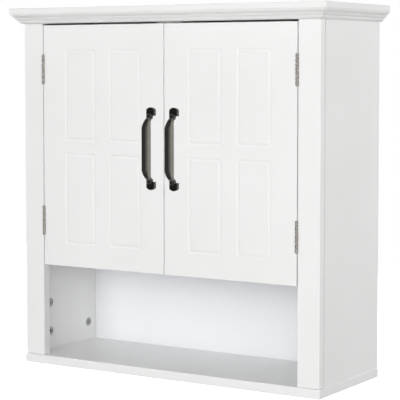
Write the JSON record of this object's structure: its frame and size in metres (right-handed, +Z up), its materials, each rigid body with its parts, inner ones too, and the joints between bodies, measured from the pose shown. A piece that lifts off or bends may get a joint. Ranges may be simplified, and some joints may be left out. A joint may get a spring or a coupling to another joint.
{
  "type": "hanging wall cabinet",
  "caption": "White wall cabinet with two inset hinged doors over an open bay, a moulded top and dark bow handles.",
  "frame": {"origin": "centre of the rear face of the upper hanging rail, where the cabinet is fixed to the wall, 550 mm above its underside", "axes": "+Z up, +Y into the wall, so the doors face -Y, and +X to the right as seen from the front"},
  "size_m": [0.6, 0.2263, 0.6],
  "materials": {
    "white_paint": "satin white paint on fibreboard",
    "white_laminate": "smooth white face on thin hardboard",
    "dark_nickel": "polished black nickel",
    "satin_nickel": "satin nickel",
    "zinc": "dull zinc plate",
    "white_plastic": "moulded, fine matt",
    "magnet": "dull grey steel"
  },
  "bodies": {
    "cabinet": {"side_panel_left": "white_paint", "stile_left": "white_paint", "crown_left": "white_paint", "side_panel_right": "white_paint", "stile_right": "white_paint", "crown_right": "white_paint", "crown_front": "white_paint", "top_panel": "white_paint", "bottom_panel": "white_paint", "catch_rail": "white_paint", "hanging_rail_upper": "white_paint", "hanging_rail_lower": "white_paint", "fixed_shelf": "white_paint", "adjustable_shelf": "white_paint", "back_panel": "white_laminate", "cam_left_bottom_front": "zinc", "cam_left_bottom_rear": "zinc", "cam_left_stile_low": "zinc", "cam_left_stile_high": "zinc", "cam_left_top_front": "zinc", "cam_left_top_rear": "zinc", "cam_right_bottom_front": "zinc", "cam_right_bottom_rear": "zinc", "cam_right_stile_low": "zinc", "cam_right_stile_high": "zinc", "cam_right_top_front": "zinc", "cam_right_top_rear": "zinc", "shelf_pin_left_front": "zinc", "shelf_pin_left_rear": "zinc", "hanger_plate_left": "zinc", "catch_magnet_left": "magnet", "shelf_pin_right_front": "zinc", "shelf_pin_right_rear": "zinc", "hanger_plate_right": "zinc", "catch_magnet_right": "magnet", "catch_housing": "white_plastic", "hinge_frame_leaf_left_lower": "satin_nickel", "hinge_pin_left_lower": "satin_nickel", "hinge_frame_leaf_left_upper": "satin_nickel", "hinge_pin_left_upper": "satin_nickel", "hinge_frame_leaf_right_lower": "satin_nickel", "hinge_pin_right_lower": "satin_nickel", "hinge_frame_leaf_right_upper": "satin_nickel", "hinge_pin_right_upper": "satin_nickel"},
    "door_left": {"door_left": "white_paint", "handle_left": "dark_nickel", "strike_plate_left": "zinc", "handle_screw_left_lower": "zinc", "hinge_door_leaf_left_lower": "satin_nickel", "handle_screw_left_upper": "zinc", "hinge_door_leaf_left_upper": "satin_nickel"},
    "door_right": {"door_right": "white_paint", "handle_right": "dark_nickel", "strike_plate_right": "zinc", "handle_screw_right_lower": "zinc", "hinge_door_leaf_right_lower": "satin_nickel", "handle_screw_right_upper": "zinc", "hinge_door_leaf_right_upper": "satin_nickel"}
  },
  "joints": [
    {"name": "door_left_hinge", "type": "hinge", "parent": "cabinet", "child": "door_left", "pos_m": [-0.2419, -0.2026, -0.1795], "axis": [0, 0, -1], "range_deg": [0, 170]},
    {"name": "door_right_hinge", "type": "hinge", "parent": "cabinet", "child": "door_right", "pos_m": [0.2419, -0.2026, -0.1795], "axis": [0, 0, 1], "range_deg": [0, 170]}
  ]
}
